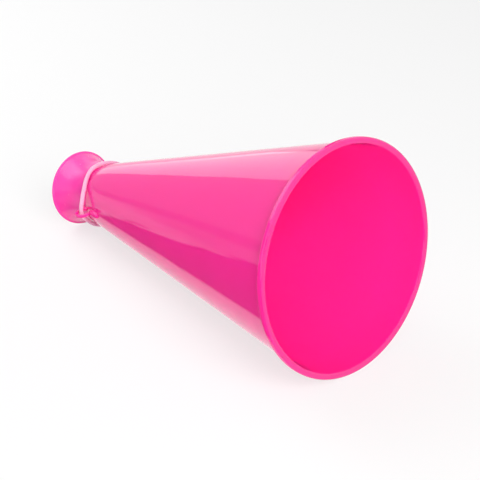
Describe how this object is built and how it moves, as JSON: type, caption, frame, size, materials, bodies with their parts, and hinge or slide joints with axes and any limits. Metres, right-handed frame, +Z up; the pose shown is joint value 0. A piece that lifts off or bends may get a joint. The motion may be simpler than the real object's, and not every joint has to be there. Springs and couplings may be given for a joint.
{
  "type": "cheering megaphone",
  "caption": "Hand-held conical cheering megaphone of thin moulded plastic, with a push-fit mouthpiece, a cord eye at its small end and a carrying cord wound into a coil.",
  "frame": {"origin": "on the table, under the middle of the horn's box as it lies on its side", "axes": "+X from the mouthpiece to the bell, level; +Z up; -Y towards the side with the cord eye, the picture's side"},
  "size_m": [0.2274, 0.1437, 0.1184],
  "materials": {
    "hot_pink_plastic": "glossy moulded plastic, hot pink all through",
    "magenta_pink_plastic": "glossy moulded plastic, a slightly more magenta pink",
    "pale_pink_cord": "soft round braided cord, pale pink",
    "white_tie": "flat white band"
  },
  "bodies": {
    "horn": {"bell_cone": "hot_pink_plastic", "neck_cord": "pale_pink_cord", "neck_knot": "pale_pink_cord", "cord_run": "pale_pink_cord", "cord_coil": "pale_pink_cord", "coil_tie": "white_tie", "cord_end": "pale_pink_cord", "end_knot": "pale_pink_cord"},
    "mouthpiece": {"mouthpiece": "magenta_pink_plastic"}
  },
  "joints": [
    {"name": "mouthpiece_pull", "type": "slide", "parent": "horn", "child": "mouthpiece", "axis": [-0.9844, 0, -0.1757], "range_m": [0, 0.014]}
  ]
}
